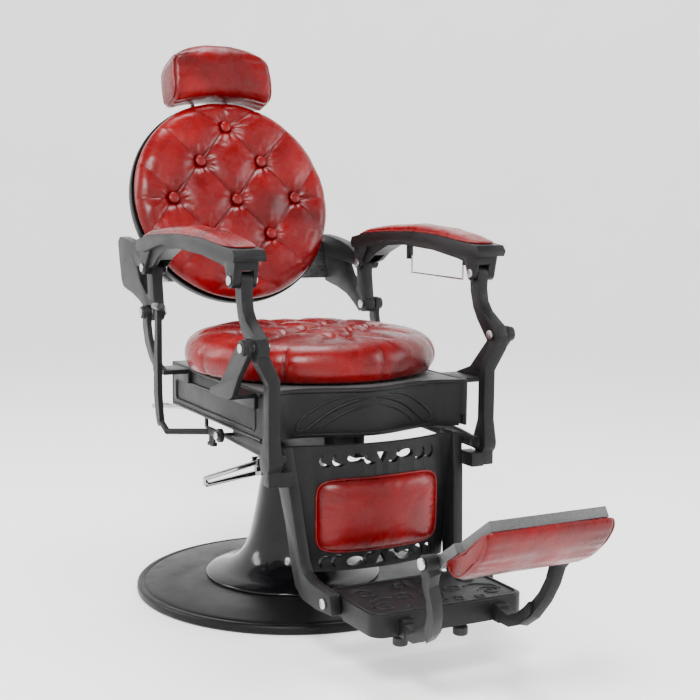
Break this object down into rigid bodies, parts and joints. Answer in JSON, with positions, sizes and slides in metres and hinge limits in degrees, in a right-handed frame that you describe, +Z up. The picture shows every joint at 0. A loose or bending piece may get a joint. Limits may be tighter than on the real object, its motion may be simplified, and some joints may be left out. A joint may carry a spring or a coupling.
{
  "type": "hydraulic barber chair",
  "caption": "Vintage-style hydraulic barber chair with tufted round seat and back, linked reclining arms and legs, folding foot pad and round pump base.",
  "frame": {"origin": "centre of the floor disc's underside", "axes": "+Z up, the chair faces -Y, sitter's left is +X"},
  "size_m": [0.6499, 1.4087, 1.1497],
  "materials": {
    "disc_black": "matte powder coat",
    "gloss_black": "gloss enamel",
    "cast_black": "textured black powder coat",
    "grey_coat": "fine grey-black hammer texture",
    "steel": "brushed",
    "chrome": "polished",
    "dark_bolt": "black oxide",
    "red_leather": "semi-gloss pull-up leather, tufted",
    "red_button": "covered button",
    "rubber": "matte",
    "plywood": "raw plywood",
    "black_knob": "semi-gloss"
  },
  "bodies": {
    "base": {"base_disc": "disc_black", "column_cover": "gloss_black", "pump_cylinder": "steel", "pump_head": "gloss_black", "pump_lever_pin": "steel"},
    "pump_lever": {"pump_lever": "chrome"},
    "lift": {"pump_piston": "chrome", "turntable": "gloss_black"},
    "seat": {"swivel_plate": "gloss_black", "swivel_bolts": "dark_bolt", "long_beams": "cast_black", "cross_beams": "cast_black", "frame_front": "cast_black", "frame_sides": "cast_black", "frame_rear": "cast_black", "seat_deck": "grey_coat", "front_ears": "cast_black", "rear_ears": "cast_black", "pivot_pins": "steel", "pivot_spacers": "steel", "guide_pins": "steel", "seat_board": "plywood", "seat_cushion": "red_leather", "seat_buttons": "red_button"},
    "brake_lever": {"brake_lever": "chrome"},
    "recline_lever": {"recline_lever": "cast_black", "lever_knob": "black_knob", "lever_studs": "dark_bolt"},
    "legs": {"leg_post_left": "cast_black", "leg_post_right": "cast_black", "leg_sides": "cast_black", "leg_panel": "cast_black", "calf_pad": "red_leather", "platform": "cast_black", "platform_screws": "steel", "foot_studs": "chrome", "rubber_feet": "rubber", "pad_arms": "cast_black"},
    "drag_link_left": {"drag_link_left": "cast_black"},
    "drag_link_right": {"drag_link_right": "cast_black"},
    "footpad": {"footpad_board": "grey_coat", "footpad_cushion": "red_leather", "footpad_pins": "steel"},
    "back": {"back_brackets": "cast_black", "back_plate": "steel", "back_shell": "cast_black", "back_cushion": "red_leather", "back_buttons": "red_button", "headrest_guides": "cast_black"},
    "headrest_slide": {"headrest_posts": "chrome"},
    "headrest": {"headrest_bracket": "cast_black", "headrest_cushion": "red_leather"},
    "arm_left": {"arm_left": "cast_black", "arm_pad_left": "red_leather", "arm_pins_left": "steel"},
    "arm_right": {"arm_right": "cast_black", "arm_pad_right": "red_leather", "arm_pins_right": "steel", "towel_clips": "cast_black"},
    "towel_rail": {"towel_rail": "chrome"}
  },
  "joints": [
    {"name": "lift", "type": "slide", "parent": "base", "child": "lift", "axis": [0, 0, 1], "range_m": [0, 0.15]},
    {"name": "swivel", "type": "hinge", "parent": "lift", "child": "seat", "pos_m": [0, 0, 0], "axis": [0, 0, 1], "continuous": true},
    {"name": "pump_lever", "type": "hinge", "parent": "base", "child": "pump_lever", "pos_m": [-0.076, 0, 0.27], "axis": [0, 1, 0], "range_deg": [0, 20]},
    {"name": "brake_lever", "type": "hinge", "parent": "seat", "child": "brake_lever", "pos_m": [-0.12, 0.075, 0.367], "axis": [0, 0, 1], "range_deg": [-10, 10]},
    {"name": "recline", "type": "hinge", "parent": "seat", "child": "back", "pos_m": [0, 0.14, 0.574], "axis": [-1, 0, 0], "range_deg": [0, 38]},
    {"name": "leg_swing", "type": "hinge", "parent": "seat", "child": "legs", "pos_m": [0, -0.376, 0.56], "axis": [-1, 0, 0], "range_deg": [0, 35.5]},
    {"name": "arm_left_hinge", "type": "hinge", "parent": "back", "child": "arm_left", "pos_m": [-0.25, 0.15, 0.665], "axis": [-1, 0, 0], "range_deg": [-42.3, 0]},
    {"name": "arm_right_hinge", "type": "hinge", "parent": "back", "child": "arm_right", "pos_m": [0.25, 0.15, 0.665], "axis": [-1, 0, 0], "range_deg": [-42.3, 0]},
    {"name": "drag_left_hinge", "type": "hinge", "parent": "legs", "child": "drag_link_left", "pos_m": [-0.2035, -0.378, 0.356], "axis": [-1, 0, 0], "range_deg": [-28.6, 0]},
    {"name": "drag_right_hinge", "type": "hinge", "parent": "legs", "child": "drag_link_right", "pos_m": [0.2035, -0.378, 0.356], "axis": [-1, 0, 0], "range_deg": [-28.6, 0]},
    {"name": "recline_lever", "type": "hinge", "parent": "seat", "child": "recline_lever", "pos_m": [-0.23, -0.16, 0.366], "axis": [1, 0, 0], "range_deg": [0, 10], "stiffness_Nm_per_rad": 6, "springref_deg": -34.38},
    {"name": "headrest_lift", "type": "slide", "parent": "back", "child": "headrest_slide", "axis": [0, 0.3355, 0.9421], "range_m": [0, 0.08]},
    {"name": "headrest_tilt", "type": "hinge", "parent": "headrest_slide", "child": "headrest", "pos_m": [0, 0.49066, 1.07713], "axis": [1, 0, 0], "range_deg": [-25, 4]},
    {"name": "footpad_flip", "type": "hinge", "parent": "legs", "child": "footpad", "pos_m": [0, -0.768, 0.266], "axis": [-1, 0, 0], "range_deg": [0, 140]},
    {"name": "towel_swing", "type": "hinge", "parent": "arm_right", "child": "towel_rail", "pos_m": [0.25, -0.15, 0.69], "axis": [0, 1, 0], "range_deg": [-60, 60]}
  ],
  "couplings": [
    {"joint": "leg_swing", "follows": "recline", "ratio": 0.92},
    {"joint": "arm_left_hinge", "follows": "recline", "ratio": -1.1},
    {"joint": "arm_right_hinge", "follows": "recline", "ratio": -1.1},
    {"joint": "drag_left_hinge", "follows": "recline", "ratio": -0.74},
    {"joint": "drag_right_hinge", "follows": "recline", "ratio": -0.74}
  ]
}
